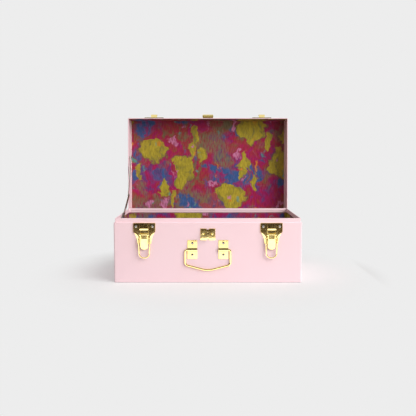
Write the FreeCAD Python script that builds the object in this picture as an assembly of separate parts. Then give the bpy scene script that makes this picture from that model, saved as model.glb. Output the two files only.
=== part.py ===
import FreeCAD, Part
import math
import os

# Storage trunk of folded sheet steel with brass-plated hardware, drawn with its lid open.
# Millimetres. X is to the right, Y to the back and Z up; the front wall faces -Y.
# The origin is the middle of the underside.

# Box and lid
width = 400.0
depth = 231.0
shoulder_height = 129.0
rim_height = 9.0
rim_inset = 2.8
rim_slope = 0.8
sheet = 0.8
corner_radius = 3.0
base_hem = 5.5
pan_lip = 2.4
lid_height = 55.0
lid_gap = 0.4
lid_hem = 5.0
lid_open_degrees = 94.0
bottom_round_share = 0.5
lid_edge_share = 0.8
hem_round_share = 0.7
plate_edge_share = 0.3

# Printed lining boards
board = 1.2
lining_drop = 3.0
lining_hem_gap = 1.5
lining_bend = 2.4
lining_fit = 0.1
lining_side_gap = 0.5

# Rivets
rivet_head_radius = 2.8
rivet_head_height = 1.4
rivet_shank_radius = 1.5
rivet_tail_radius = 2.2
rivet_tail_height = 0.5
rivet_hole_clearance = 0.05
pocket_clearance = 0.15

# Hinges at the back
hinge_place_share = 0.2875
hinge_wall_gap = 0.5
hinge_leaf_width = 50.0
hinge_leaf_height = 20.0
hinge_leaf_thickness = 1.2
hinge_leaf_corner = 3.0
hinge_knuckle_radius = 2.5
hinge_knuckle_count = 5
hinge_pin_radius = 1.3
hinge_pin_head_radius = 1.9
hinge_pin_head_length = 0.8
hinge_rivet_spread = 15.0
hinge_rivet_drop = 13.0
knuckle_gap = 0.4
leaf_gap = 0.5
pin_clearance = 0.05

# Draw latches: the plate hangs below the shoulder, the lever and the bail below their pivots
latch_place_share = 0.3372
latch_top_drop = 0.3
latch_height = 45.0
latch_waist_drop = 18.5
latch_half_width = 23.7
latch_half_bottom = 14.5
latch_flank_rise_share = 0.673
latch_flank_width_share = 0.4316
latch_edge_thickness = 0.7
latch_plate_thickness = 2.2
latch_bevel = 4.4
latch_top_bevel = 0.7
latch_corner = 2.0
latch_rivet_inset = 6.5
latch_rivet_drop = 7.6
ear_inner = 8.0
ear_thickness = 1.4
ear_reach = 9.0
ear_end_radius = 3.4
channel_roof = 1.5
channel_bend_share = 0.8
channel_top_drop = 1.5
channel_pivot_rise = 9.5
channel_lip_share = 0.25
channel_lip_depth_share = 0.75
lever_pivot_drop = 24.7
lever_eye_gap = 0.8
lever_pin_radius = 1.5
lever_pin_head_radius = 2.3
lever_pin_head_length = 0.7
lever_cheek = 1.2
lever_web = 1.5
lever_web_reach = 1.2
lever_web_gap = 0.6
lever_slope_share = 0.09
lever_length = 32.0
lever_cheek_length = 20.0
lever_eye_radius = 3.0
lever_end_radius = 7.0
lever_flare = 0.9
lever_back_clearance = 0.6
lever_side_clearance = 0.4
bail_pivot_drop = 6.5
bail_pivot_back = 0.5
bail_wire_radius = 1.3
bail_side_gap = 0.85
bail_taper = 2.0
bail_top_bend = 2.6
bail_end_bend = 9.4
bail_stub_run = 1.4

# Strikes on the lid
strike_height = 20.0
strike_thickness = 1.8
strike_rim_gap = 0.6
strike_corner = 2.0
strike_wire_rise = 11.3
strike_arch_drop = 4.3
strike_slope_share = 0.27
strike_hook_side_gap = 3.5
strike_hook_thickness = 1.5
strike_hook_clearance = 0.8
strike_lip_rise = 2.2
strike_rivet_rise = 11.0

# Hasp: staple on the base, strap and plate on the lid
staple_half_width = 16.0
staple_top_drop = 12.4
staple_height = 25.1
staple_edge = 0.7
staple_thickness = 1.6
staple_bevel = 4.6
staple_side_bevel = 0.6
ear_half_thickness = 1.5
ear_top_drop = 5.6
ear_height = 15.0
ear_protrusion = 16.0
ear_hole_radius = 3.0
ear_hole_edge = 2.0
ear_corner = 4.0
staple_rivet_inset = 6.5
staple_notch_half_width = 2.8
staple_notch_depth = 2.4
staple_rivet_drop = 10.6
hasp_half_width = 12.75
hasp_plate_height = 22.0
hasp_plate_thickness = 1.2
hasp_axis_rise = 5.2
hasp_knuckle_gap = 0.6
hasp_knuckle_radius = 3.8
hasp_knuckle_count = 3
hasp_pin_radius = 1.6
hasp_pin_head_radius = 2.6
hasp_pin_head_length = 0.8
hasp_strap_thickness = 1.6
hasp_strap_overhang = 6.0
hasp_strap_corner = 4.0
hasp_slot_clearance = 1.2
hasp_rivet_spread = 7.5
hasp_rivet_drop = 6.0
hasp_rivet_head_height = 1.2
hasp_web_half = 1.6

# Drop handle
handle_plate_place = 33.0
handle_plate_half_width = 10.4
handle_plate_rise = 20.7
handle_plate_drop = 20.0
handle_plate_thickness = 1.3
handle_plate_corner = 1.6
handle_axis_share = 0.5515
handle_rivet_rise = 13.9
handle_rivet_drop = 10.9
handle_wire_radius = 2.0
handle_wire_clearance = 0.3
handle_stub_run = 0.6
handle_leg_length = 32.55
handle_bow_drop = 12.6
handle_top_bend = 4.0
handle_leg_bend = 7.0
handle_bottom_bend = 54.0

# Folding stay on the left wall, placed forward of and above the lid's hinge axis
stay_lid_forward = 137.0
stay_rim_gap = 2.2
stay_elbow_forward = 37.0
stay_elbow_rise = 43.2
stay_base_forward = 175.0
stay_base_drop = 14.0
stay_half_width = 5.0
stay_thickness = 1.2
stay_wall_clearance = 0.5
stay_arm_gap = 0.5
stay_shank_radius = 2.0
stay_spacer_radius = 2.8
stay_head_radius = 3.6
stay_head_height = 0.9
stay_hole_clearance = 0.05
stay_face_gap = 0.1

overrun = 5.0

Vector = FreeCAD.Vector
front = -depth / 2
back = depth / 2
rim_top = shoulder_height + rim_height
lid_low = shoulder_height + lid_gap
lid_high = lid_low + lid_height
lid_edge_radius = corner_radius * lid_edge_share
hinge_place = width * hinge_place_share
hinge_offset = hinge_knuckle_radius + hinge_wall_gap
hinge_y = back + hinge_offset
hinge_z = shoulder_height
rivet_hole = rivet_shank_radius + rivet_hole_clearance

# The latch's places, from the shoulder and from its own pivots
latch_place = width * latch_place_share
latch_top = shoulder_height - latch_top_drop
latch_waist = latch_top - latch_waist_drop
latch_bottom = latch_top - latch_height
latch_flank = latch_bottom + (latch_waist - latch_bottom) * latch_flank_rise_share
latch_half_flank = latch_half_bottom + (latch_half_width - latch_half_bottom) * latch_flank_width_share
latch_rivet_spread = latch_half_width - latch_rivet_inset
latch_rivet_height = latch_top - latch_rivet_drop
lever_pivot_height = latch_top - lever_pivot_drop
lever_pivot_reach = latch_plate_thickness + lever_eye_gap + lever_eye_radius
channel_low = lever_pivot_height + channel_pivot_rise
channel_high = latch_top - channel_top_drop
bail_pivot_height = lever_pivot_height - bail_pivot_drop
bail_pivot_reach = lever_pivot_reach - bail_pivot_back
lever_web_front = lever_pivot_reach + lever_web_reach
lever_web_top = bail_pivot_height - bail_wire_radius - lever_web_gap
lever_end = lever_pivot_height - lever_length
lever_cheek_end = lever_pivot_height - lever_cheek_length
pin_head_outer = ear_inner + ear_thickness + pin_clearance + lever_pin_head_length
bail_half_span = pin_head_outer + bail_side_gap + bail_wire_radius
bail_length = lid_low + strike_wire_rise - bail_pivot_height
strike_hook_half_width = bail_half_span - bail_wire_radius - strike_hook_side_gap

# The hasp's, the handle's and the stay's places
staple_high = shoulder_height - staple_top_drop
staple_low = staple_high - staple_height
ear_high = staple_high - ear_top_drop
ear_low = ear_high - ear_height
ear_hole_reach = ear_protrusion - ear_hole_radius - ear_hole_edge
staple_rivet_spread = staple_half_width - staple_rivet_inset
staple_rivet_height = staple_high - staple_rivet_drop
hasp_axis_reach = hasp_plate_thickness + hasp_knuckle_gap + hasp_knuckle_radius
hasp_rivet_rise = hasp_plate_height - hasp_rivet_drop
handle_axis_height = shoulder_height * handle_axis_share
handle_plate_high = handle_axis_height + handle_plate_rise
handle_plate_low = handle_axis_height - handle_plate_drop
handle_rivet_high = handle_axis_height + handle_rivet_rise
handle_rivet_low = handle_axis_height - handle_rivet_drop
handle_half_span = handle_plate_place + handle_plate_half_width + handle_top_bend + handle_stub_run
handle_leg_low = handle_axis_height - handle_leg_length
handle_bottom = handle_leg_low - handle_bow_drop
stay_lid_rise = rim_height + stay_spacer_radius + stay_rim_gap
RIGHT = Vector(1, 0, 0)
OUT = Vector(0, -1, 0)
REAR = Vector(0, 1, 0)


def rod(start, end, radius):
    """A round bar between two points."""
    return Part.makeCylinder(radius, (end - start).Length, start, end - start)


def block(x, y, z):
    """A box from three (low, high) pairs."""
    size = [high - low for low, high in (x, y, z)]
    return Part.makeBox(*size, Vector(x[0], y[0], z[0]))


def out_of_front(low, high):
    """The Y range of a layer that stands off the front wall."""
    return front - high, front - low


def join(shapes):
    """One solid from shapes that touch or overlap."""
    return shapes[0].fuse(shapes[1:]).removeSplitter()


def drill(shape, holes):
    """A shape with all its holes cut."""
    return shape.cut(holes) if holes else shape


def rounded_path(points, radii, closed=False):
    """A wire through points, its corners rounded to tangent arcs."""
    count = len(points)
    starts, ends, arcs = list(points), list(points), [None] * count
    for i in range(count):
        if radii[i] and (closed or 0 < i < count - 1):
            to_last = (points[i - 1] - points[i]).normalize()
            to_next = (points[(i + 1) % count] - points[i]).normalize()
            half = to_last.getAngle(to_next) / 2
            run = radii[i] / math.tan(half)
            starts[i] = points[i] + to_last * run
            ends[i] = points[i] + to_next * run
            inward = (to_last + to_next).normalize()
            middle = points[i] + inward * (radii[i] / math.sin(half) - radii[i])
            arcs[i] = Part.Arc(starts[i], middle, ends[i]).toShape()
    edges = []
    for i in range(count):
        if arcs[i]:
            edges.append(arcs[i])
        if closed or i < count - 1:
            edges.append(Part.LineSegment(ends[i], starts[(i + 1) % count]).toShape())
    return Part.Wire(edges)


def rounded_wire(size_x, size_y, radius, z):
    """A rectangle with round corners, centred on the Z axis."""
    x, y = size_x / 2, size_y / 2
    corners = [Vector(-x, -y, z), Vector(x, -y, z), Vector(x, y, z), Vector(-x, y, z)]
    return rounded_path(corners, [radius] * len(corners), closed=True)


def prism(inset, z_low, z_high):
    """A block of the box's plan, drawn in by an inset, with its corners round."""
    radius = max(corner_radius - inset, sheet)
    wire = rounded_wire(width - 2 * inset, depth - 2 * inset, radius, z_low)
    return Part.Face(wire).extrude(Vector(0, 0, z_high - z_low))


def tapered(inset_low, inset_high, z_low, z_high):
    """A block of the box's plan whose inset changes with height."""
    wires = []
    for inset, z in ((inset_low, z_low), (inset_high, z_high)):
        radius = max(corner_radius - inset, sheet)
        wires.append(rounded_wire(width - 2 * inset, depth - 2 * inset, radius, z))
    return Part.makeLoft(wires, True, True)


def level_edges(shape, z):
    """The edges of a shape that lie flat at one height."""
    box = [(edge, edge.BoundBox) for edge in shape.Edges]
    near = sheet * hem_round_share / len(box)
    return [edge for edge, b in box if abs(b.ZMin - z) < near and abs(b.ZMax - z) < near]


def face_edges(shape, y):
    """The edges of a shape that lie in one plane parallel to the front wall."""
    box = [(edge, edge.BoundBox) for edge in shape.Edges]
    near = sheet * hem_round_share / len(box)
    return [edge for edge, b in box if abs(b.YMin - y) < near and abs(b.YMax - y) < near]


def sheet_from(wire, direction):
    """A flat plate from its outline."""
    return Part.Face(wire).extrude(direction)


def eased_plate(wire, direction, thickness):
    """A flat plate whose edges are rounded on the side it faces."""
    plate = sheet_from(wire, direction * thickness)
    face = wire.BoundBox.YMin + direction.y * thickness
    return plate.makeFillet(thickness * plate_edge_share, face_edges(plate, face))


def front_outline(points, radii, reach):
    """A closed outline of (x, z) points, parallel to the front wall."""
    return rounded_path([Vector(x, front - reach, z) for x, z in points], radii, closed=True)


def rivet(face, outward, grip, head_height=rivet_head_height):
    """A round-headed rivet: head on a face, shank through the grip and a flat tail behind."""
    outline = Part.Wire([
        Part.LineSegment(Vector(0, 0, -grip - rivet_tail_height),
                         Vector(rivet_tail_radius, 0, -grip - rivet_tail_height)).toShape(),
        Part.LineSegment(Vector(rivet_tail_radius, 0, -grip - rivet_tail_height),
                         Vector(rivet_tail_radius, 0, -grip)).toShape(),
        Part.LineSegment(Vector(rivet_tail_radius, 0, -grip),
                         Vector(rivet_shank_radius, 0, -grip)).toShape(),
        Part.LineSegment(Vector(rivet_shank_radius, 0, -grip),
                         Vector(rivet_shank_radius, 0, 0)).toShape(),
        Part.LineSegment(Vector(rivet_shank_radius, 0, 0),
                         Vector(rivet_head_radius, 0, 0)).toShape(),
        dome_arc(rivet_head_radius, head_height),
        Part.LineSegment(Vector(0, 0, head_height),
                         Vector(0, 0, -grip - rivet_tail_height)).toShape(),
    ])
    solid = Part.Face(outline).revolve(Vector(0, 0, 0), Vector(0, 0, 1), 360)
    solid.Placement = FreeCAD.Placement(face, FreeCAD.Rotation(Vector(0, 0, 1), outward))
    return solid


def dome_arc(radius, height):
    """The side of a round head, from its edge to its crown."""
    ball = (radius * radius + height * height) / (2 * height)
    half = math.asin(radius / ball) / 2
    middle = Vector(ball * math.sin(half), 0, height - ball + ball * math.cos(half))
    return Part.Arc(Vector(radius, 0, 0), middle, Vector(0, 0, height)).toShape()


def round_head(face, outward, radius, height):
    """A low dome that sits on a face."""
    outline = Part.Wire([
        Part.LineSegment(Vector(0, 0, 0), Vector(radius, 0, 0)).toShape(),
        dome_arc(radius, height),
        Part.LineSegment(Vector(0, 0, height), Vector(0, 0, 0)).toShape(),
    ])
    solid = Part.Face(outline).revolve(Vector(0, 0, 0), Vector(0, 0, 1), 360)
    solid.Placement = FreeCAD.Placement(face, FreeCAD.Rotation(Vector(0, 0, 1), outward))
    return solid


def through(points, outward):
    """Holes for rivet shanks, along a wall's outward direction."""
    reach = outward * overrun
    return [rod(p - reach, p + reach, rivet_hole) for p in points]


def pockets(points, outward):
    """Room behind a lining for the rivet tails on a wall's inner face."""
    deep = rivet_tail_height + pocket_clearance
    radius = rivet_tail_radius + pocket_clearance
    inner = [p - outward * sheet for p in points]
    return [rod(p + outward * sheet, p - outward * deep, radius) for p in inner]


def rows(places, spread, y, z):
    """Points in pairs about several places along X."""
    return [Vector(place + side * spread, y, z) for place in places for side in (-1, 1)]


def open_lid(shape):
    """A lid piece, drawn closed, turned back to the open pose."""
    turned = shape.copy()
    turned.rotate(Vector(0, hinge_y, hinge_z), RIGHT, -lid_open_degrees)
    return turned


latch_places = {"left": -latch_place, "right": latch_place}
hinge_places = {"left": -hinge_place, "right": hinge_place}
handle_places = {"left": -handle_plate_place, "right": handle_plate_place}

# Where the rivets go, on the outer faces of the walls
latch_rivet_points = rows(latch_places.values(), latch_rivet_spread, front, latch_rivet_height)
handle_rivet_points = [Vector(x, front, z) for x in handle_places.values()
                       for z in (handle_rivet_low, handle_rivet_high)]
staple_rivet_points = rows([0], staple_rivet_spread, front, staple_rivet_height)
hinge_base_points = rows(hinge_places.values(), hinge_rivet_spread, back, hinge_z - hinge_rivet_drop)
hinge_lid_points = rows(hinge_places.values(), hinge_rivet_spread, back, hinge_z + hinge_rivet_drop)
strike_rivet_points = rows(latch_places.values(), latch_rivet_spread, front,
                           lid_low + strike_rivet_rise)
hasp_rivet_points = rows([0], hasp_rivet_spread, front, lid_low + hasp_rivet_rise)
base_front_points = latch_rivet_points + handle_rivet_points + staple_rivet_points
lid_front_points = strike_rivet_points + hasp_rivet_points


def stay_point(forward, rise):
    """A point of the stay's side plane, from the hinge axis."""
    return Vector(0, hinge_y - forward, hinge_z + rise)


side_inner = -width / 2 + sheet
stay_upper_outer = -width / 2 + rim_inset + 2 * sheet + stay_wall_clearance
stay_upper_inner = stay_upper_outer + stay_thickness
stay_lower_outer = stay_upper_inner + stay_arm_gap
stay_lower_inner = stay_lower_outer + stay_thickness
stay_base_point = stay_point(stay_base_forward, -stay_base_drop)
stay_elbow_point = stay_point(stay_elbow_forward, stay_elbow_rise)
stay_lid_closed = stay_point(stay_lid_forward, stay_lid_rise)
stay_hole = stay_shank_radius + stay_hole_clearance


def at_x(point, x):
    """The same point of the side plane at another X."""
    return Vector(x, point.y, point.z)


def stay_wall_hole(point):
    """The hole in a side wall for a stay's pivot."""
    return rod(at_x(point, -width / 2 - overrun), at_x(point, side_inner + overrun), stay_hole)


# The base's walls: full below the shoulder, drawn in at the rim, hemmed at the top edge
def base_walls():
    slope_low = shoulder_height - rim_slope
    outer = join([
        prism(0, pan_lip, slope_low),
        tapered(0, rim_inset, slope_low, shoulder_height),
        prism(rim_inset, shoulder_height, rim_top),
    ])
    drop = sheet * math.tan(math.atan2(rim_inset, rim_slope) / 2)
    hollow = join([
        prism(sheet, pan_lip - overrun, slope_low - drop),
        tapered(sheet, rim_inset + sheet, slope_low - drop, shoulder_height - drop),
        prism(rim_inset + sheet, shoulder_height - drop, rim_top - base_hem),
        prism(rim_inset + 2 * sheet, rim_top - base_hem, rim_top + overrun),
    ])
    walls = outer.cut(hollow)
    walls = walls.makeFillet(sheet * hem_round_share, level_edges(walls, rim_top))
    holes = through(base_front_points, OUT) + through(hinge_base_points, REAR)
    return drill(walls, holes + [stay_wall_hole(stay_base_point)])


def base_floor():
    """The bottom pan: a flat panel, its edges turned up to meet the walls."""
    bottom_round = corner_radius * bottom_round_share
    pan = prism(0, 0, pan_lip)
    pan = pan.makeFillet(bottom_round, level_edges(pan, 0))
    room = prism(sheet, sheet, pan_lip + overrun)
    if bottom_round > sheet:
        room = room.makeFillet(bottom_round - sheet, level_edges(room, sheet))
    return pan.cut(room)


def folded_lining(panel, rim):
    """A board folded along X: front wall, panel and back wall, open towards the rim."""
    half = depth / 2 - sheet - lining_fit
    long = width / 2 - max(corner_radius, sheet + lining_side_gap)
    up = 1 if rim > panel else -1
    shapes = []
    for inset, past in ((0, 0), (board, overrun)):
        section = [Vector(-long, y, z) for y, z in (
            (inset - half, rim + up * past), (inset - half, panel + up * inset),
            (half - inset, panel + up * inset), (half - inset, rim + up * past))]
        bend = max(lining_bend - inset, lining_fit)
        wire = rounded_path(section, [0, bend, bend, 0], closed=True)
        shapes.append(sheet_from(wire, RIGHT * (2 * long)))
    return shapes[0].cut(shapes[1])


def base_lining():
    """A tray of board on the floor and all four walls, below a bare band at the rim."""
    low, high = sheet + lining_fit, shoulder_height - rim_slope - lining_drop + board
    bend = corner_radius * bottom_round_share
    tray = prism(low, low, high)
    tray = tray.makeFillet(bend, level_edges(tray, low))
    room = prism(low + board, low + board, high + overrun)
    room = room.makeFillet(max(bend - board, lining_fit), level_edges(room, low + board))
    stay_room = rod(at_x(stay_base_point, -width / 2), at_x(stay_base_point, side_inner + overrun),
                    stay_spacer_radius + pocket_clearance)
    holes = pockets(base_front_points, OUT) + pockets(hinge_base_points, REAR)
    return drill(tray.cut(room), holes + [stay_room])


def lid_shell():
    """The folded lid, with a hem inside its rim."""
    outer = prism(0, lid_low, lid_high)
    outer = outer.makeFillet(lid_edge_radius, level_edges(outer, lid_high))
    room = prism(sheet, lid_low + lid_hem, lid_high - sheet)
    if lid_edge_radius > sheet:
        room = room.makeFillet(lid_edge_radius - sheet, level_edges(room, lid_high - sheet))
    mouth = prism(2 * sheet, lid_low - overrun, lid_low + lid_hem)
    lid = outer.cut(join([room, mouth]))
    lid = lid.makeFillet(sheet * hem_round_share, level_edges(lid, lid_low))
    holes = through(lid_front_points, OUT) + through(hinge_lid_points, REAR)
    return drill(lid, holes + [stay_wall_hole(stay_lid_closed)])


def lid_lining():
    lining = folded_lining(lid_high - sheet - lining_fit, lid_low + lid_hem + lining_hem_gap)
    return drill(lining, pockets(lid_front_points, OUT) + pockets(hinge_lid_points, REAR))


# Hinges: two leaves with interleaved knuckles on one pin
def hinge_leaf(place, up):
    """A leaf on the back wall; up is 1 for the lid's leaf and -1 for the base's."""
    segment = hinge_leaf_width / hinge_knuckle_count
    left = place - hinge_leaf_width / 2
    clear = hinge_knuckle_radius + leaf_gap
    near, far = hinge_z + up * clear, hinge_z + up * hinge_leaf_height
    corners = [Vector(left, back, near), Vector(left + hinge_leaf_width, back, near),
               Vector(left + hinge_leaf_width, back, far), Vector(left, back, far)]
    wire = rounded_path(corners, [0, 0, hinge_leaf_corner, hinge_leaf_corner], closed=True)
    shapes = [eased_plate(wire, REAR, hinge_leaf_thickness)]
    first = 0 if up < 0 else 1
    for i in range(first, hinge_knuckle_count, 2):
        low = left + i * segment + (knuckle_gap / 2 if i else 0)
        high = left + (i + 1) * segment - (knuckle_gap / 2 if i < hinge_knuckle_count - 1 else 0)
        z = sorted((hinge_z, near))
        shapes.append(block((low, high), (back, back + hinge_leaf_thickness), z))
        shapes.append(rod(Vector(low, hinge_y, hinge_z), Vector(high, hinge_y, hinge_z),
                          hinge_knuckle_radius))
    bore = rod(Vector(left - overrun, hinge_y, hinge_z),
               Vector(left + hinge_leaf_width + overrun, hinge_y, hinge_z),
               hinge_pin_radius + pin_clearance)
    points = hinge_lid_points if up > 0 else hinge_base_points
    return drill(join(shapes), [bore] + through(points, REAR))


def headed_pin(left, right, radius, head_radius, head_length, y, z):
    """A pin along X with a peened head at each end."""
    head = RIGHT * head_length
    start, end = Vector(left, y, z), Vector(right, y, z)
    return join([rod(start, end, radius), rod(start - head, start, head_radius),
                 rod(end, end + head, head_radius)])


def hinge_pin(place):
    half = hinge_leaf_width / 2 + pin_clearance
    return headed_pin(place - half, place + half, hinge_pin_radius, hinge_pin_head_radius,
                      hinge_pin_head_length, hinge_y, hinge_z)


# Draw latches
def latch_outline(bevel, top_bevel, reach):
    """The latch plate's shield: wide above, drawn in by concave flanks below."""
    half = latch_half_width - top_bevel
    middle = latch_half_flank - bevel
    end = latch_half_bottom - bevel
    top, bottom = latch_top - top_bevel, latch_bottom + top_bevel
    y = front - reach
    flank = [Vector(half, y, latch_waist + top_bevel - bevel / 2),
             Vector(middle, y, latch_flank), Vector(end, y, bottom)]
    mirror = [Vector(-p.x, p.y, p.z) for p in flank]
    corner = latch_corner - top_bevel
    brow = rounded_path([mirror[0], Vector(-half, y, top), Vector(half, y, top), flank[0]],
                        [0, corner, corner, 0])
    edges = list(brow.Edges)
    edges.append(Part.Arc(*flank).toShape())
    edges.append(Part.LineSegment(flank[2], mirror[2]).toShape())
    edges.append(Part.Arc(mirror[2], mirror[1], mirror[0]).toShape())
    return Part.Wire(edges)


def latch_plate(place):
    foot = latch_outline(0, 0, 0)
    shoulder = latch_outline(0, 0, latch_edge_thickness)
    crown = latch_outline(latch_bevel, latch_top_bevel, latch_plate_thickness)
    plate = join([sheet_from(foot, OUT * latch_edge_thickness),
                  Part.makeLoft([shoulder, crown], True, True)])
    ear_outer = ear_inner + ear_thickness
    channel = block((-ear_outer, ear_outer), out_of_front(0, ear_reach),
                    (lever_pivot_height, channel_high))
    bends = [edge for edge in face_edges(channel, front - ear_reach)
             if edge.BoundBox.ZLength > edge.BoundBox.XLength]
    channel = channel.makeFillet(channel_roof * channel_bend_share, bends)
    under_roof = out_of_front(-overrun, ear_reach - channel_roof)
    channel = channel.cut([
        block((-ear_inner, ear_inner), under_roof, (0, rim_top)),
        block((-ear_inner, ear_inner), out_of_front(-overrun, ear_reach + overrun), (0, channel_low)),
    ])
    lip_rise = (channel_high - channel_low) * channel_lip_share
    lip_depth = channel_roof * channel_lip_depth_share
    lip = [Vector(-ear_outer, front - ear_reach, channel_low + lip_rise),
           Vector(-ear_outer, front - ear_reach + lip_depth, channel_low),
           Vector(-ear_outer, front - ear_reach, channel_low)]
    channel = channel.cut(sheet_from(Part.makePolygon(lip + lip[:1]), RIGHT * ear_outer * 2))
    pivot_y = front - lever_pivot_reach
    shapes = [plate, channel]
    for side in (-1, 1):
        x = sorted((side * ear_inner, side * ear_outer))
        shapes.append(rod(Vector(x[0], pivot_y, lever_pivot_height),
                          Vector(x[1], pivot_y, lever_pivot_height), ear_end_radius))
    shaped = join(shapes)
    bore = rod(Vector(-ear_outer - overrun, pivot_y, lever_pivot_height),
               Vector(ear_outer + overrun, pivot_y, lever_pivot_height),
               lever_pin_radius + pin_clearance)
    behind = block((-width, width), (front, front + overrun), (0, rim_top))
    shaped = shaped.cut([bore, behind])
    shaped.translate(RIGHT * place)
    return drill(shaped, through(latch_rivet_points, OUT))


def latch_pin(place):
    half = ear_inner + ear_thickness + pin_clearance
    return headed_pin(place - half, place + half, lever_pin_radius, lever_pin_head_radius,
                      lever_pin_head_length, front - lever_pivot_reach, lever_pivot_height)


def latch_lever(place):
    """A channel-shaped lever: two cheeks on the pivot and a finger tab."""
    half = ear_inner - lever_side_clearance
    pivot_y = front - lever_pivot_reach
    web_y = out_of_front(lever_web_front - lever_web, lever_web_front)
    wide = half + lever_flare
    tab = [(-half, lever_web_top), (half, lever_web_top), (wide, lever_end), (-wide, lever_end)]
    outline = front_outline(tab, [0, 0, lever_end_radius, lever_end_radius],
                            lever_web_front - lever_web)
    tab = eased_plate(outline, OUT, lever_web)
    hip = Vector(0, web_y[0], lever_web_top)
    tab.rotate(hip, RIGHT, math.degrees(math.atan(lever_slope_share)))
    shapes = [tab]
    deepest = latch_plate_thickness + lever_back_clearance
    lean = (lever_web_top - lever_cheek_end) * lever_slope_share
    for side in (-1, 1):
        x = sorted((side * half, side * (half - lever_cheek)))
        eye = rod(Vector(x[0], pivot_y, lever_pivot_height),
                  Vector(x[1], pivot_y, lever_pivot_height), lever_eye_radius)
        neck_back = front - lever_pivot_reach + lever_eye_radius
        neck = [Vector(x[0], neck_back, lever_pivot_height),
                Vector(x[0], front - deepest, lever_web_top),
                Vector(x[0], web_y[1] + lean, lever_cheek_end),
                Vector(x[0], web_y[0] + lean, lever_cheek_end),
                Vector(x[0], web_y[0], lever_web_top),
                Vector(x[0], pivot_y - lever_eye_radius, lever_pivot_height)]
        shapes += [eye, sheet_from(Part.makePolygon(neck + neck[:1]), RIGHT * lever_cheek)]
    lever = join(shapes)
    bores = []
    for reach, height, radius in ((lever_pivot_reach, lever_pivot_height, lever_pin_radius),
                                  (bail_pivot_reach, bail_pivot_height, bail_wire_radius)):
        bores.append(rod(Vector(-half - overrun, front - reach, height),
                         Vector(half + overrun, front - reach, height), radius + pin_clearance))
    lever = lever.cut(bores)
    lever.translate(RIGHT * place)
    return lever


def bent_wire(points, radii, radius):
    """Round wire bent along a path of points."""
    path = rounded_path(points, radii)
    start = points[0]
    ring = Part.Wire(Part.makeCircle(radius, start, points[1] - start))
    return path.makePipeShell([ring], True, False)


def latch_bail(place):
    """The wire loop, hanging from the lever's cheeks."""
    y = front - bail_pivot_reach
    inner = ear_inner - lever_side_clearance - lever_cheek - bail_stub_run
    low = bail_pivot_height - bail_length
    half_path = [(inner, bail_pivot_height), (bail_half_span, bail_pivot_height),
                 (bail_half_span - bail_taper, low)]
    path = half_path + [(-x, z) for x, z in reversed(half_path)]
    radii = [0, bail_top_bend, bail_end_bend, bail_end_bend, bail_top_bend, 0]
    return bent_wire([Vector(place + x, y, z) for x, z in path], radii, bail_wire_radius)


# Strikes on the lid, with an upturned hook for the bail's end
def strike(place):
    low = lid_low + strike_rim_gap
    high = lid_low + strike_height
    half = latch_half_width
    plate = [(-half, low), (half, low), (half, high), (-half, high)]
    outline = front_outline(plate, [strike_corner] * len(plate), 0)
    shapes = [eased_plate(outline, OUT, strike_thickness)]
    wire_height = bail_pivot_height + bail_length
    lip_inner = bail_pivot_reach + bail_wire_radius + strike_hook_clearance
    lip_outer = lip_inner + strike_hook_thickness
    half_hook = strike_hook_half_width
    crest = wire_height - bail_wire_radius - strike_arch_drop
    root = crest - lip_outer * strike_slope_share
    ledge = [(0, root), (lip_outer, crest), (lip_outer, crest - strike_hook_thickness),
             (0, root - strike_hook_thickness)]
    profile = [Vector(-half_hook, front - reach, height) for reach, height in ledge]
    shapes.append(sheet_from(Part.makePolygon(profile + profile[:1]), RIGHT * half_hook * 2))
    lip_low, lip_top = crest - strike_hook_thickness, wire_height + strike_lip_rise
    lip = [(-half_hook, lip_low), (half_hook, lip_low), (half_hook, lip_top), (-half_hook, lip_top)]
    outline = front_outline(lip, [0, 0, strike_corner, strike_corner], lip_inner)
    shapes.append(eased_plate(outline, OUT, strike_hook_thickness))
    shaped = join(shapes)
    shaped.translate(RIGHT * place)
    return drill(shaped, through(strike_rivet_points, OUT))


# Hasp
def staple_outline(bottom, side, reach):
    half = staple_half_width - side
    points = [(-half, staple_low + bottom), (half, staple_low + bottom),
              (half, staple_high - side), (-half, staple_high - side)]
    return front_outline(points, [0] * len(points), reach)


def hasp_staple():
    """A plate with a drilled ear for a padlock."""
    plate = join([
        sheet_from(staple_outline(0, 0, 0), OUT * staple_edge),
        Part.makeLoft([staple_outline(0, 0, staple_edge),
                       staple_outline(staple_bevel, staple_side_bevel, staple_thickness)], True, True),
    ])
    notch_x = (-staple_notch_half_width, staple_notch_half_width)
    notch_y = out_of_front(-overrun, overrun)
    plate = plate.cut([
        block(notch_x, notch_y, (staple_low - overrun, staple_low + staple_notch_depth)),
        block(notch_x, notch_y, (staple_high - staple_notch_depth, staple_high + overrun)),
    ])
    corners = [Vector(-ear_half_thickness, y, z) for y, z in (
        (front, ear_low), (front - ear_protrusion, ear_low),
        (front - ear_protrusion, ear_high), (front, ear_high))]
    ear = sheet_from(rounded_path(corners, [0, ear_corner, ear_corner, 0], closed=True),
                     RIGHT * (2 * ear_half_thickness))
    middle = (ear_low + ear_high) / 2
    y = front - ear_hole_reach
    hole = rod(Vector(-overrun, y, middle), Vector(overrun, y, middle), ear_hole_radius)
    return drill(join([plate, ear]), [hole] + through(staple_rivet_points, OUT))


hasp_y = front - hasp_axis_reach
hasp_z = lid_low + hasp_axis_rise
hasp_segment = 2 * hasp_half_width / hasp_knuckle_count


def hasp_knuckle(index):
    """The X range of one knuckle of the hasp."""
    low = -hasp_half_width + index * hasp_segment
    high = low + hasp_segment
    low += knuckle_gap / 2 if index else 0
    high -= knuckle_gap / 2 if index < hasp_knuckle_count - 1 else 0
    return low, high


def hasp_barrel(x):
    """The round of one knuckle."""
    return rod(Vector(x[0], hasp_y, hasp_z), Vector(x[1], hasp_y, hasp_z), hasp_knuckle_radius)


def hasp_bore():
    return rod(Vector(-hasp_half_width - overrun, hasp_y, hasp_z),
               Vector(hasp_half_width + overrun, hasp_y, hasp_z), hasp_pin_radius + pin_clearance)


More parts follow.
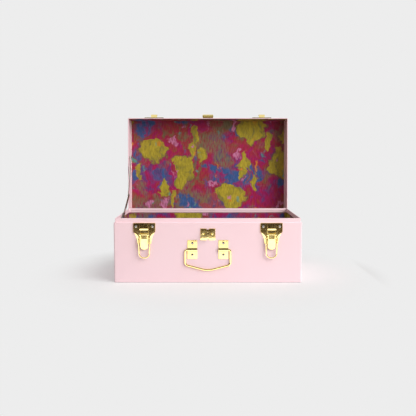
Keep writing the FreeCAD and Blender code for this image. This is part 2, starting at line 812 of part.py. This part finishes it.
def hasp_plate():
    """The fixed half on the lid, with the outer knuckles at its lower edge."""
    low, high = lid_low + strike_rim_gap, lid_low + hasp_plate_height
    half = hasp_half_width
    outline = front_outline([(-half, low), (half, low), (half, high), (-half, high)],
                            [0, 0, strike_corner, strike_corner], 0)
    shapes = [eased_plate(outline, OUT, hasp_plate_thickness)]
    web = (hasp_z - hasp_web_half, hasp_z + hasp_web_half)
    for i in range(0, hasp_knuckle_count, 2):
        x = hasp_knuckle(i)
        shapes.append(hasp_barrel(x))
        shapes.append(block(x, out_of_front(0, hasp_axis_reach), web))
    return drill(join(shapes), [hasp_bore()] + through(hasp_rivet_points, OUT))


def hasp_pin():
    half = hasp_half_width + pin_clearance
    return headed_pin(-half, half, hasp_pin_radius, hasp_pin_head_radius, hasp_pin_head_length,
                      hasp_y, hasp_z)


def hasp_strap():
    """The hinged strap with its slot, folded back along the lid."""
    clear = hasp_knuckle_radius + leaf_gap
    reach = hasp_z - ear_low + hasp_strap_overhang
    face = hasp_axis_reach - hasp_strap_thickness / 2
    half = hasp_half_width
    points = [(-half, hasp_z + clear), (half, hasp_z + clear),
              (half, hasp_z + reach), (-half, hasp_z + reach)]
    outline = front_outline(points, [0, 0, hasp_strap_corner, hasp_strap_corner], face)
    slot_half = ear_half_thickness + hasp_slot_clearance
    slot = block((-slot_half, slot_half), out_of_front(0, hasp_axis_reach + overrun),
                 (2 * hasp_z - ear_high - hasp_slot_clearance,
                  2 * hasp_z - ear_low + hasp_slot_clearance))
    shapes = [eased_plate(outline, OUT, hasp_strap_thickness)]
    for i in range(1, hasp_knuckle_count, 2):
        x = hasp_knuckle(i)
        shapes.append(hasp_barrel(x))
        shapes.append(block(x, out_of_front(face, face + hasp_strap_thickness), (hasp_z, hasp_z + clear)))
    return join(shapes).cut([slot, hasp_bore()])


# Drop handle
handle_reach = handle_wire_radius + handle_wire_clearance


def handle_plate(place):
    """A riveted plate with a half-round barrel pressed across it."""
    half = handle_plate_half_width
    points = [(-half, handle_plate_low), (half, handle_plate_low),
              (half, handle_plate_high), (-half, handle_plate_high)]
    outline = front_outline(points, [handle_plate_corner] * len(points), 0)
    plate = eased_plate(outline, OUT, handle_plate_thickness)
    x = (-half, half)

    def barrel(radius, past):
        start = Vector(x[0] - past, front - handle_reach, handle_axis_height)
        end = Vector(x[1] + past, front - handle_reach, handle_axis_height)
        z = (handle_axis_height - radius, handle_axis_height + radius)
        foot = block((x[0] - past, x[1] + past), out_of_front(-past, handle_reach), z)
        return rod(start, end, radius).fuse(foot)

    bore = handle_wire_radius + handle_wire_clearance
    raised = barrel(bore + handle_plate_thickness, 0)
    shaped = join([plate, raised]).cut([barrel(bore, overrun),
                                        block((-width, width), (front, front + depth), (0, rim_top))])
    shaped.translate(RIGHT * place)
    return drill(shaped, through(handle_rivet_points, OUT))


def handle_bail():
    """One bent wire: stubs in the barrels, two legs and a shallow bow."""
    y = front - handle_reach
    stub = handle_plate_place - handle_plate_half_width
    side = [(stub, handle_axis_height), (handle_half_span, handle_axis_height),
            (handle_half_span, handle_leg_low)]
    path = side + [(0, handle_bottom)] + [(-x, z) for x, z in reversed(side)]
    radii = [0, handle_top_bend, handle_leg_bend, handle_bottom_bend,
             handle_leg_bend, handle_top_bend, 0]
    return bent_wire([Vector(x, y, z) for x, z in path], radii, handle_wire_radius)


# Folding stay
def stay_arm(first, second, x):
    """A flat bar with round ends between two points of the side plane."""
    along = (second - first).normalize()
    across = RIGHT.cross(along) * stay_half_width
    first, second = at_x(first, x), at_x(second, x)
    tip = along * stay_half_width
    edges = [
        Part.LineSegment(first - across, second - across).toShape(),
        Part.Arc(second - across, second + tip, second + across).toShape(),
        Part.LineSegment(second + across, first + across).toShape(),
        Part.Arc(first + across, first - tip, first - across).toShape(),
    ]
    return sheet_from(Part.Wire(edges), RIGHT * stay_thickness)


def stay_bore(point):
    return rod(at_x(point, -width / 2), at_x(point, 0), stay_hole)


def stay_pivot(point, arm_outer):
    """A shouldered rivet through a side wall that carries an arm."""
    arm_inner = arm_outer + stay_thickness + stay_face_gap
    return join([
        rod(at_x(point, -width / 2), at_x(point, arm_inner), stay_shank_radius),
        rod(at_x(point, side_inner), at_x(point, arm_outer - stay_face_gap), stay_spacer_radius),
        round_head(at_x(point, arm_inner), RIGHT, stay_head_radius, stay_head_height),
        round_head(at_x(point, -width / 2), RIGHT * -1, stay_head_radius, stay_head_height),
    ])


def stay_elbow_rivet():
    """The elbow's rivet, held in the lower arm."""
    outer = at_x(stay_elbow_point, stay_lower_outer)
    inner = at_x(stay_elbow_point, stay_lower_inner)
    return join([
        rod(outer, inner, stay_shank_radius),
        round_head(inner, RIGHT, stay_head_radius, stay_head_height),
    ])


def turned_back(point):
    """A point of the closed lid, where it is with the lid open."""
    turn = FreeCAD.Rotation(RIGHT, -lid_open_degrees)
    axis = Vector(0, hinge_y, hinge_z)
    return axis + turn.multVec(point - axis)


def front_rivets(points, grip):
    return Part.makeCompound([rivet(p + OUT * grip, OUT, grip + sheet) for p in points])


def hinge_rivets(points):
    grip = hinge_leaf_thickness
    return Part.makeCompound([rivet(p + REAR * grip, REAR, grip + sheet) for p in points])


def lid_hasp_rivets():
    grip = hasp_plate_thickness
    return Part.makeCompound([rivet(p + OUT * grip, OUT, grip + sheet, hasp_rivet_head_height)
                              for p in hasp_rivet_points])


parts = {
    "base_walls": base_walls(),
    "base_floor": base_floor(),
    "base_lining": base_lining(),
    "latch_rivets": front_rivets(latch_rivet_points, latch_plate_thickness),
    "hasp_staple": hasp_staple(),
    "hasp_staple_rivets": front_rivets(staple_rivet_points, staple_thickness),
    "handle_rivets": front_rivets(handle_rivet_points, handle_plate_thickness),
    "handle_bail": handle_bail(),
    "hinge_base_rivets": hinge_rivets(hinge_base_points),
    "stay_base_pivot": stay_pivot(stay_base_point, stay_lower_outer),
    "stay_elbow_rivet": stay_elbow_rivet(),
    "stay_lower_arm": drill(stay_arm(stay_base_point, stay_elbow_point, stay_lower_outer),
                            [stay_bore(stay_base_point), stay_bore(stay_elbow_point)]),
    "stay_upper_arm": drill(stay_arm(turned_back(stay_lid_closed), stay_elbow_point, stay_upper_outer),
                            [stay_bore(turned_back(stay_lid_closed))]),
    "lid_shell": open_lid(lid_shell()),
    "lid_lining": open_lid(lid_lining()),
    "strike_rivets": open_lid(front_rivets(strike_rivet_points, strike_thickness)),
    "hasp_plate": open_lid(hasp_plate()),
    "hasp_plate_rivets": open_lid(lid_hasp_rivets()),
    "hasp_pin": open_lid(hasp_pin()),
    "hasp_strap": open_lid(hasp_strap()),
    "hinge_lid_rivets": open_lid(hinge_rivets(hinge_lid_points)),
    "stay_lid_pivot": open_lid(stay_pivot(stay_lid_closed, stay_upper_outer)),
}
for side, place in latch_places.items():
    parts["latch_plate_" + side] = latch_plate(place)
    parts["latch_pin_" + side] = latch_pin(place)
    parts["latch_lever_" + side] = latch_lever(place)
    parts["latch_bail_" + side] = latch_bail(place)
    parts["strike_" + side] = open_lid(strike(place))
for side, place in hinge_places.items():
    parts["hinge_base_leaf_" + side] = hinge_leaf(place, -1)
    parts["hinge_lid_leaf_" + side] = open_lid(hinge_leaf(place, 1))
    parts["hinge_pin_" + side] = hinge_pin(place)
for side, place in handle_places.items():
    parts["handle_plate_" + side] = handle_plate(place)

os.makedirs("parts", exist_ok=True)
for name, shape in parts.items():
    print(name, len(shape.Solids), "solids", "valid" if shape.isValid() else "NOT VALID")
    shape.exportStep("parts/" + name + ".step")
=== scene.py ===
import bpy
import math
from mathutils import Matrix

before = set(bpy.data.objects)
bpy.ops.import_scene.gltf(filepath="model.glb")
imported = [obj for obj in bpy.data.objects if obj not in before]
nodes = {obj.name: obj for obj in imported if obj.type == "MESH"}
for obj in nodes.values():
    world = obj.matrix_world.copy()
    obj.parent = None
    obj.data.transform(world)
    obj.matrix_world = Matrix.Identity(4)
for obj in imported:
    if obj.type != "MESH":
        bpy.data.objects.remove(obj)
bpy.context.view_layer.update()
scene = bpy.context.scene
scene.view_settings.view_transform = "Standard"

BACKDROP = "#ededed"

# A Mix node's sockets by place, as their names repeat
FACTOR = 0
FIRST_NUMBER = 2
SECOND_NUMBER = 3
FIRST_COLOUR = 6
SECOND_COLOUR = 7
MIXED_COLOUR = 2


def linear(hex_colour):
    """An sRGB hex colour as linear RGBA."""
    values = [int(hex_colour[i:i + 2], 16) / 255 for i in (1, 3, 5)]
    return tuple(v / 12.92 if v <= 0.04045 else ((v + 0.055) / 1.055) ** 2.4 for v in values) + (1.0,)


def per_mm(size):
    """The texture scale at which one feature is this many millimetres."""
    return 1000.0 / size


def add_node(tree, kind, sockets=None, stops=None, **settings):
    """Adds a node with its settings, and fills its sockets with values or links."""
    node = tree.nodes.new(kind)
    for name, value in settings.items():
        setattr(node, name, value)
    for key, value in (sockets or {}).items():
        if isinstance(value, bpy.types.NodeSocket):
            tree.links.new(value, node.inputs[key])
        else:
            node.inputs[key].default_value = value
    if stops:
        points = node.color_ramp.elements
        while len(points) < len(stops):
            points.new(1.0)
        for point, (place, colour) in zip(points, stops):
            point.position = place
            point.color = colour
    return node


def new_material(name):
    """A material with its shader, and object coordinates."""
    material = bpy.data.materials.new(name)
    material.use_nodes = True
    tree = material.node_tree
    tree.nodes.clear()
    shader = add_node(tree, "ShaderNodeBsdfPrincipled")
    add_node(tree, "ShaderNodeOutputMaterial", {"Surface": shader.outputs["BSDF"]})
    place = add_node(tree, "ShaderNodeTexCoord").outputs["Object"]
    return material, tree, shader, place


# Powder-coated steel, satin: a smooth film with a faint orange peel and a slight cloudiness.
def powder_coat():
    cloud_size = 70
    peel_size = 1.6
    material, tree, shader, place = new_material("powder_coat_pink")
    cloud = add_node(tree, "ShaderNodeTexNoise",
                     {"Vector": place, "Scale": per_mm(cloud_size), "Detail": 3.0})
    tint = add_node(tree, "ShaderNodeValToRGB", {"Fac": cloud.outputs["Fac"]},
                    stops=[(0.3, linear("#f8d9df")), (0.7, linear("#f9dbe1"))])
    tree.links.new(tint.outputs["Color"], shader.inputs["Base Color"])
    gloss = add_node(tree, "ShaderNodeMapRange",
                     {"Value": cloud.outputs["Fac"], "To Min": 0.48, "To Max": 0.54})
    tree.links.new(gloss.outputs["Result"], shader.inputs["Roughness"])
    peel = add_node(tree, "ShaderNodeTexNoise",
                    {"Vector": place, "Scale": per_mm(peel_size), "Detail": 1.0})
    bump = add_node(tree, "ShaderNodeBump",
                    {"Height": peel.outputs["Fac"], "Strength": 0.06, "Distance": 0.0002})
    tree.links.new(bump.outputs["Normal"], shader.inputs["Normal"])
    shader.inputs["IOR"].default_value = 1.5
    shader.inputs["Specular IOR Level"].default_value = 0.3
    return material


# Bright brass plate on steel: pale yellow mirror with a faint polishing haze that breaks its reflections.
def brass_plate():
    haze_size = 8
    wave_size = 5
    material, tree, shader, place = new_material("bright_brass_plate")
    patch = add_node(tree, "ShaderNodeTexNoise",
                     {"Vector": place, "Scale": per_mm(haze_size), "Detail": 3.0})
    tint = add_node(tree, "ShaderNodeValToRGB", {"Fac": patch.outputs["Fac"]},
                    stops=[(0.3, linear("#ffe798")), (0.7, linear("#ffeea8"))])
    tree.links.new(tint.outputs["Color"], shader.inputs["Base Color"])
    shader.inputs["Metallic"].default_value = 1.0
    haze = add_node(tree, "ShaderNodeMapRange",
                    {"Value": patch.outputs["Fac"], "To Min": 0.06, "To Max": 0.14})
    tree.links.new(haze.outputs["Result"], shader.inputs["Roughness"])
    wave = add_node(tree, "ShaderNodeTexNoise",
                    {"Vector": place, "Scale": per_mm(wave_size), "Detail": 2.0})
    bump = add_node(tree, "ShaderNodeBump",
                    {"Height": wave.outputs["Fac"], "Strength": 0.10, "Distance": 0.0006})
    tree.links.new(bump.outputs["Normal"], shader.inputs["Normal"])
    return material


# Dulled plate on steel: the rivets' nickel, marked by the setting tool, and the stay's zinc, rubbed, in a
# paler and a darker copy whose tones are painted reflections.
def dulled_plate(name, dark, light):
    rub_size = 3
    material, tree, shader, place = new_material(name)
    patch = add_node(tree, "ShaderNodeTexNoise",
                     {"Vector": place, "Scale": per_mm(rub_size), "Detail": 3.0})
    tint = add_node(tree, "ShaderNodeValToRGB", {"Fac": patch.outputs["Fac"]},
                    stops=[(0.3, linear(dark)), (0.7, linear(light))])
    tree.links.new(tint.outputs["Color"], shader.inputs["Base Color"])
    shader.inputs["Metallic"].default_value = 1.0
    dull = add_node(tree, "ShaderNodeMapRange",
                    {"Value": patch.outputs["Fac"], "To Min": 0.16, "To Max": 0.30})
    tree.links.new(dull.outputs["Result"], shader.inputs["Roughness"])
    return material


# Printed paper on board, matt: broad washes of strong colour with hatched brush marks.
# Sizes, offsets and reaches are in millimetres, and turns in degrees.
def printed_paper():
    material, tree, shader, place = new_material("printed_paper")

    def shifted(vector, size, reach):
        """The sheet's places pushed about by noise of this size."""
        middle = (0.5, 0.5, 0.5)
        waves = add_node(tree, "ShaderNodeTexNoise",
                         {"Vector": vector, "Scale": per_mm(size), "Detail": 3.0, "Roughness": 0.55},
                         noise_dimensions="2D")
        push = add_node(tree, "ShaderNodeVectorMath", {0: waves.outputs["Color"], 1: middle},
                        operation="SUBTRACT")
        push = add_node(tree, "ShaderNodeVectorMath", {0: push.outputs[0], "Scale": reach / 1000},
                        operation="SCALE")
        return add_node(tree, "ShaderNodeVectorMath", {0: vector, 1: push.outputs[0]}).outputs[0]

    def moved(vector, offset, turn, stretch):
        """Mapping values that move and turn a pattern, and draw it out along the second axis."""
        return {"Vector": vector, "Location": (offset[0] / 1000, offset[1] / 1000, 0.0),
                "Rotation": (0.0, 0.0, math.radians(turn)), "Scale": (1.0, 1.0 / stretch, 1.0)}

    def brushed(vector, size, offset=(0, 0), turn=0, stretch=1, detail=3.0, roughness=0.55):
        """Brush marks of this size, moved, turned and drawn out."""
        spot = add_node(tree, "ShaderNodeMapping", moved(vector, offset, turn, stretch))
        marks = add_node(tree, "ShaderNodeTexNoise", {
            "Vector": spot.outputs[0], "Scale": per_mm(size), "Detail": detail, "Roughness": roughness},
            noise_dimensions="2D")
        return marks.outputs["Fac"]

    def painted(under, paint, *limits):
        """Lays paint over what is there: none at each value's first limit, all of it at the second."""
        steps = []
        for value, none, full in limits:
            step = add_node(tree, "ShaderNodeMapRange",
                            {"Value": value, "From Min": none, "From Max": full},
                            interpolation_type="SMOOTHSTEP")
            steps.append(step.outputs["Result"])
        mask = add_node(tree, "ShaderNodeMath", {0: steps[0], 1: steps[1]}, operation="MULTIPLY")
        mixed = add_node(tree, "ShaderNodeMix",
                         {FACTOR: mask.outputs[0], FIRST_COLOUR: under, SECOND_COLOUR: paint},
                         data_type="RGBA")
        return mixed.outputs[MIXED_COLOUR]

    # The sheet is folded out flat: on the short walls height runs along X, elsewhere along Y
    axes = add_node(tree, "ShaderNodeSeparateXYZ", {0: place})
    least_sideways = 0.7
    facing = add_node(tree, "ShaderNodeTexCoord").outputs["Normal"]
    facing = add_node(tree, "ShaderNodeVectorMath", {0: facing}, operation="ABSOLUTE").outputs[0]
    sideways = add_node(tree, "ShaderNodeSeparateXYZ", {0: facing}).outputs["X"]
    flat = []
    for axis, side in (("X", "GREATER_THAN"), ("Y", "LESS_THAN")):
        climbs = add_node(tree, "ShaderNodeMath", {0: sideways, 1: least_sideways}, operation=side)
        folded = add_node(tree, "ShaderNodeMath",
                          {0: axes.outputs["Z"], 1: climbs.outputs[0], 2: axes.outputs[axis]},
                          operation="MULTIPLY_ADD")
        flat.append(folded.outputs[0])
    sheet = add_node(tree, "ShaderNodeCombineXYZ", {0: flat[0], 1: flat[1]}).outputs[0]
    wet = shifted(shifted(sheet, size=60, reach=50), size=11, reach=9)
    lobed = shifted(shifted(sheet, size=30, reach=36), size=8, reach=7)

    # Brush hairs both ways, drawn about three times coarser than they are so that they can be seen
    upright = brushed(sheet, size=2.2, turn=4, stretch=6)
    level = brushed(sheet, size=2.4, offset=(50, 0), turn=84, stretch=6)
    hairs = add_node(tree, "ShaderNodeMix",
                     {FACTOR: 0.53, FIRST_NUMBER: upright, SECOND_NUMBER: level}).outputs[0]
    strokes = brushed(wet, size=13, turn=-3, stretch=2.6, detail=4.0, roughness=0.65)

    # Washes, with khaki smears and blue pools in them
    pool = brushed(wet, size=92, detail=2.0)
    washed = add_node(tree, "ShaderNodeMix", {FACTOR: 0.52, FIRST_NUMBER: pool, SECOND_NUMBER: strokes})
    colour = add_node(tree, "ShaderNodeValToRGB", {"Fac": washed.outputs[0]}, stops=[
        (0.33, linear("#564e88")), (0.385, linear("#853a78")), (0.44, linear("#ab1f66")),
        (0.50, linear("#b02850")), (0.555, linear("#a83a40")), (0.60, linear("#8f5a46")),
        (0.66, linear("#7c6c50"))]).outputs["Color"]
    smear = brushed(wet, size=90, offset=(370, 90))
    colour = painted(colour, linear("#7f7358"), (smear, 0.49, 0.64), (hairs, 0.30, 0.62))
    blue = brushed(wet, size=80, offset=(130, 610))
    colour = painted(colour, linear("#41619a"), (blue, 0.54, 0.66), (strokes, 0.36, 0.5))

    def dabbed(under, paint, size, offset, chance, radius, turn=0, stretch=1):
        """Lays lobed dabs of paint, one in each chosen cell, with edges that the brush hairs break."""
        hair_depth = 0.16
        outer_edge = 0.12
        inner_edge = 0.05
        choice_edge = 0.02
        spot = add_node(tree, "ShaderNodeMapping", moved(lobed, offset, turn, stretch))
        cells = add_node(tree, "ShaderNodeTexVoronoi",
                         {"Vector": spot.outputs[0], "Scale": per_mm(size)}, voronoi_dimensions="2D")
        pick = add_node(tree, "ShaderNodeSeparateXYZ", {0: cells.outputs["Color"]}).outputs["X"]
        edge = add_node(tree, "ShaderNodeMath", {0: hairs, 1: hair_depth, 2: cells.outputs["Distance"]},
                        operation="MULTIPLY_ADD").outputs[0]
        return painted(under, paint, (edge, radius + outer_edge, radius + inner_edge),
                       (pick, 1.0 - chance, 1.0 - chance + choice_edge))

    # Mustard blots with a dark outline, and narrow leaning dabs of the same paint
    mustard = add_node(tree, "ShaderNodeValToRGB", {"Fac": strokes}, stops=[
        (0.36, linear("#8e8440")), (0.48, linear("#b0a034")), (0.62, linear("#bfac38"))]).outputs["Color"]
    blots = {"size": 84, "offset": (20, 15), "chance": 0.58}
    colour = dabbed(colour, linear("#6b3f52"), radius=0.47, **blots)
    colour = dabbed(colour, mustard, radius=0.44, **blots)
    colour = dabbed(colour, mustard, size=30, offset=(0, 45), chance=0.20, radius=0.34,
                    turn=38, stretch=2.4)

    # Small touches of other colours
    touch_edge = 0.06
    for tint, offset, turn, low in (("#d98a34", (910, 30), 30, 0.70), ("#d080a8", (470, 290), -20, 0.69),
                                    ("#5a9a92", (830, 610), 55, 0.70)):
        touch = brushed(lobed, size=30, offset=offset, turn=turn, stretch=1.6, detail=1.5)
        colour = painted(colour, linear(tint), (touch, low, low + touch_edge), (hairs, 0.34, 0.52))

    # The hairs leave more and less paint on the board
    worn = add_node(tree, "ShaderNodeMapRange", {"Value": hairs, "From Min": 0.2, "From Max": 0.8,
                                                 "To Min": 0.44, "To Max": 1.14}).outputs["Result"]
    inked = add_node(tree, "ShaderNodeVectorMath", {0: colour, "Scale": worn}, operation="SCALE")
    tree.links.new(inked.outputs[0], shader.inputs["Base Color"])
    dry = add_node(tree, "ShaderNodeMapRange", {"Value": strokes, "To Min": 0.60, "To Max": 0.78})
    tree.links.new(dry.outputs["Result"], shader.inputs["Roughness"])
    shader.inputs["IOR"].default_value = 1.45
    return material


# White paper sweep, matt and faintly cloudy: it fades into the backdrop's own white beyond the shadow.
def paper_sweep():
    cloud_size = 400
    shadow_reach = 0.235
    fade_end = 0.42
    fade_at_trunk = 0.15
    share_sent_back = 0.58
    material, tree, shader, place = new_material("white_paper_sweep")
    cloud = add_node(tree, "ShaderNodeTexNoise",
                     {"Vector": place, "Scale": per_mm(cloud_size), "Detail": 2.0})
    tint = add_node(tree, "ShaderNodeValToRGB", {"Fac": cloud.outputs["Fac"]},
                    stops=[(0.0, linear("#f9f9f9")), (1.0, linear("#fbfbfb"))])
    # The sweep sends less light back at the trunk than it shows
    path = add_node(tree, "ShaderNodeLightPath")
    given = add_node(tree, "ShaderNodeMapRange", {"Value": path.outputs["Is Diffuse Ray"], "To Min": 1.0,
                                                  "To Max": share_sent_back}).outputs["Result"]
    paper = add_node(tree, "ShaderNodeVectorMath",
                     {0: tint.outputs["Color"], "Scale": given}, operation="SCALE")
    tree.links.new(paper.outputs[0], shader.inputs["Base Color"])
    shader.inputs["Roughness"].default_value = 0.9
    shader.inputs["Specular IOR Level"].default_value = 0.0
    away = add_node(tree, "ShaderNodeVectorMath", {0: place}, operation="LENGTH").outputs["Value"]
    fade = add_node(tree, "ShaderNodeMapRange", {
        "Value": away, "From Min": shadow_reach, "From Max": fade_end, "To Min": fade_at_trunk},
        interpolation_type="SMOOTHSTEP").outputs["Result"]
    fade = add_node(tree, "ShaderNodeMath",
                    {0: fade, 1: path.outputs["Is Camera Ray"]}, operation="MULTIPLY")
    glow = add_node(tree, "ShaderNodeEmission", {"Color": linear(BACKDROP), "Strength": 1.0})
    mixed = add_node(tree, "ShaderNodeMixShader", {0: fade.outputs[0], 1: shader.outputs["BSDF"],
                                                   2: glow.outputs["Emission"]})
    output = next(node for node in tree.nodes if node.type == "OUTPUT_MATERIAL")
    tree.links.new(mixed.outputs[0], output.inputs["Surface"])
    return material


# Brown cloth, matt: patchy in its own tone, and darker further from its own middle, which is painted shade.
def brown_cloth():
    patch_size = 110
    patch_depth = 0.9
    material, tree, shader, place = new_material("brown_cloth")
    away = add_node(tree, "ShaderNodeVectorMath", {0: place}, operation="LENGTH").outputs["Value"]
    patchy = add_node(tree, "ShaderNodeTexNoise",
                      {"Vector": place, "Scale": per_mm(patch_size), "Detail": 2.0})
    # Distance from the middle deepens the patches: painted shade, darker further out
    spread = add_node(tree, "ShaderNodeMath",
                      {0: patchy.outputs["Fac"], 1: patch_depth, 2: away}, operation="MULTIPLY_ADD")
    patches_and_painted_shade = add_node(tree, "ShaderNodeMapRange",
                    {"Value": spread.outputs[0], "From Min": 1.12, "From Max": 1.5})
    cloth_tone_and_painted_shade = add_node(tree, "ShaderNodeValToRGB", {"Fac": patches_and_painted_shade.outputs["Result"]},
                   stops=[(0.0, linear("#8c6d4c")), (0.5, linear("#46311f")), (1.0, linear("#21160d"))])
    tree.links.new(cloth_tone_and_painted_shade.outputs["Color"], shader.inputs["Base Color"])
    shader.inputs["Roughness"].default_value = 0.9
    return material


# Dark felt, quite matt: it only darkens what mirrors it.
def dark_felt():
    material, _, shader, _ = new_material("dark_felt")
    shader.inputs["Base Color"].default_value = linear("#1a1109")
    shader.inputs["Roughness"].default_value = 0.95
    return material


# White card that glows evenly all over: painted light in place of a card under its own lamp.
def glowing_card():
    material, _, shader, _ = new_material("glowing_white_card")
    shader.inputs["Emission Color"].default_value = linear("#ffffff")
    shader.inputs["Emission Strength"].default_value = 1.05
    return material


# Finishes
pink = powder_coat()
brass = brass_plate()
nickel = dulled_plate("dulled_nickel_plate", "#9a9693", "#b8b4af")
# The stay's zinc twice: a darker copy with a painted dark reflection, and a paler copy with a painted light
# reflection
zinc = dulled_plate("zinc_plate_painted_dark_reflection", "#7d776b", "#938c7f")
zinc_painted_light_reflection = dulled_plate("zinc_plate_painted_light_reflection", "#e6e2dc", "#f2efea")
lining = printed_paper()
for name, piece in nodes.items():
    finish = brass
    if name in ("base_walls", "base_floor", "lid_shell"):
        finish = pink
    elif name.endswith("lining"):
        finish = lining
    # The upper arm and the lid pivot take the paler copy, its tone a painted light reflection; the rest of
    # the stay takes the darker one
    elif name in ("stay_upper_arm", "stay_lid_pivot"):
        finish = zinc_painted_light_reflection
    elif name.startswith("stay"):
        finish = zinc
    elif name.endswith("rivets") and name != "hasp_staple_rivets":
        finish = nickel
    piece.data.materials.clear()
    piece.data.materials.append(finish)


def staged(name, finish):
    """Names the piece of the stage just added and gives it its finish."""
    piece = bpy.context.object
    piece.name = name
    piece.data.materials.append(finish)
    return piece


def flat_card(name, finish, place, width, depth, turn=0):
    """A flat card of this width and depth, turned about X in degrees."""
    bpy.ops.object.select_all(action="DESELECT")
    bpy.ops.mesh.primitive_plane_add(size=1.0, location=place, rotation=(math.radians(turn), 0, 0))
    card = staged(name, finish)
    card.scale = (width, depth, 1.0)
    return card


# Heights that keep the stage's flat pieces clear of the floor, in metres as all of the stage is
glowing_card_height = 0.0003
card_height = 0.003
cloth_height = 0.004

# White floor
floor_width = 60.0
bpy.ops.object.select_all(action="DESELECT")
bpy.ops.mesh.primitive_plane_add(size=floor_width, location=(0, 0, 0))
floor = staged("floor", paper_sweep())

# Brown cloth around the white table, up to a wall of it, seen in reflections only
table_radius = 0.74
cloth_spread = 4.0
cloth_wall = 2.2
ring_points = 96
cloth = brown_cloth()
bpy.ops.object.select_all(action="DESELECT")
bpy.ops.mesh.primitive_circle_add(vertices=ring_points, radius=table_radius, fill_type="NOTHING",
                                  location=(0, 0, cloth_height))
ring = staged("dark_ring", cloth)
bpy.ops.object.mode_set(mode="EDIT")
bpy.ops.mesh.select_all(action="SELECT")
bpy.ops.mesh.extrude_region_move()
bpy.ops.transform.resize(value=(cloth_spread, cloth_spread, 1.0))
bpy.ops.mesh.extrude_region_move(TRANSFORM_OT_translate={"value": (0, 0, cloth_wall)})
bpy.ops.object.mode_set(mode="OBJECT")

# The dark half of the room in front, which takes light off the upper front wall
front = flat_card("dark_front", cloth, place=(0, -1.84, card_height), width=8.0, depth=2.72)
flag = flat_card("dark_flag", cloth, place=(0, -3.2, 0.6), width=8.0, depth=1.2, turn=90)

# Dark cloth at the right, which takes light off the right wall
right = flat_card("dark_right", cloth, place=(1.72, 1.0, card_height), width=2.7, depth=2.96)

# A narrow dark apron low in front, mirrored by the hasp's knuckles
apron = flat_card("dark_apron", dark_felt(), place=(0, -0.5, 0.16), width=0.24, depth=0.72)

# A glowing white card, painted light for a lamp-lit one, on the table around the trunk, a little way under
# the cloth, seen in reflections only
tucked_under = 0.02
glowing_card_radius = table_radius + tucked_under
bpy.ops.object.select_all(action="DESELECT")
bpy.ops.mesh.primitive_circle_add(vertices=ring_points, radius=glowing_card_radius, fill_type="NGON",
                                  location=(0, 0, glowing_card_height))
bounce = staged("bounce_card", glowing_card())

for card in (front, flag, right):
    card.visible_glossy = False
for card in (ring, apron, bounce):
    card.visible_diffuse = False
cards = [ring, front, flag, right, apron, bounce]
for card in cards:
    card.visible_camera = False
    card.visible_shadow = False
    card.visible_transmission = False

# A pale room, which the camera and the metal see as the backdrop's white
room_light = 0.49
world = bpy.data.worlds.new("studio")
scene.world = world
world.use_nodes = True
tree = world.node_tree
tree.nodes.clear()
path = add_node(tree, "ShaderNodeLightPath")
seen = path.outputs["Is Camera Ray"]
for ray in ("Is Glossy Ray", "Is Transmission Ray"):
    seen = add_node(tree, "ShaderNodeMath", {0: seen, 1: path.outputs[ray]}, operation="MAXIMUM").outputs[0]
dim = (room_light, room_light, room_light, 1.0)
shown = add_node(tree, "ShaderNodeMix", {FACTOR: seen, FIRST_COLOUR: dim, SECOND_COLOUR: linear(BACKDROP)},
                 data_type="RGBA")
sky = add_node(tree, "ShaderNodeBackground", {"Color": shown.outputs[MIXED_COLOUR], "Strength": 1.0})
add_node(tree, "ShaderNodeOutputWorld", {"Surface": sky.outputs["Background"]})


def add_lamp(kind, name, floor_link, energy, place, lean, turn):
    """A lamp leaned from straight down and turned about Z in degrees, off the floor or on it alone."""
    bpy.ops.object.light_add(type=kind, location=place)
    lamp = bpy.context.object
    lamp.name = name
    lamp.data.energy = energy
    lamp.rotation_euler = (math.radians(lean), 0, math.radians(turn))
    # The lamp isn't mirrored, so the coat has no glare
    lamp.visible_glossy = False
    linked = bpy.data.collections.new(name + "_links")
    linked.objects.link(floor)
    lamp.light_linking.receiver_collection = linked
    linked.collection_objects[0].light_linking.link_state = floor_link
    return lamp


# The trunk's lamps: a soft box at the right front, a weak sun above it, and a fill from the back left
key = add_lamp("AREA", "key", "EXCLUDE", energy=62.5, place=(1.651, -1.581, 1.158), lean=64.8, turn=48.5)
key.data.size = 1.92
sun = add_lamp("SUN", "sun", "EXCLUDE", energy=0.5, place=(1.5, -1.5, 2.0), lean=40, turn=44)
sun.data.angle = math.radians(55)
fill = add_lamp("SUN", "fill", "EXCLUDE", energy=0.55, place=(-1.5, 1.8, 1.2), lean=65, turn=217)
fill.data.angle = math.radians(60)

# The floor's lamps: two soft suns, whose shadows run out at the left
high_sun = add_lamp("SUN", "floor_high_sun", "INCLUDE", energy=1.1, place=(1.5, -1.5, 2.4),
                    lean=40, turn=44)
high_sun.data.angle = math.radians(55)
low_sun = add_lamp("SUN", "floor_sun", "INCLUDE", energy=0.47, place=(1.5, -1.5, 2.2), lean=44, turn=58)
low_sun.data.angle = math.radians(40)

# The camera, which looks a little down on the trunk from the front
camera_place = (0.00026, -1.3729, 0.27785)
downward_tilt = 5.353
camera_data = bpy.data.cameras.new("camera")
camera_data.sensor_width = 36.0
camera_data.lens = 51.71
camera = bpy.data.objects.new("camera", camera_data)
scene.collection.objects.link(camera)
camera.location = camera_place
camera.rotation_euler = (math.radians(90 - downward_tilt), 0, 0)
scene.camera = camera
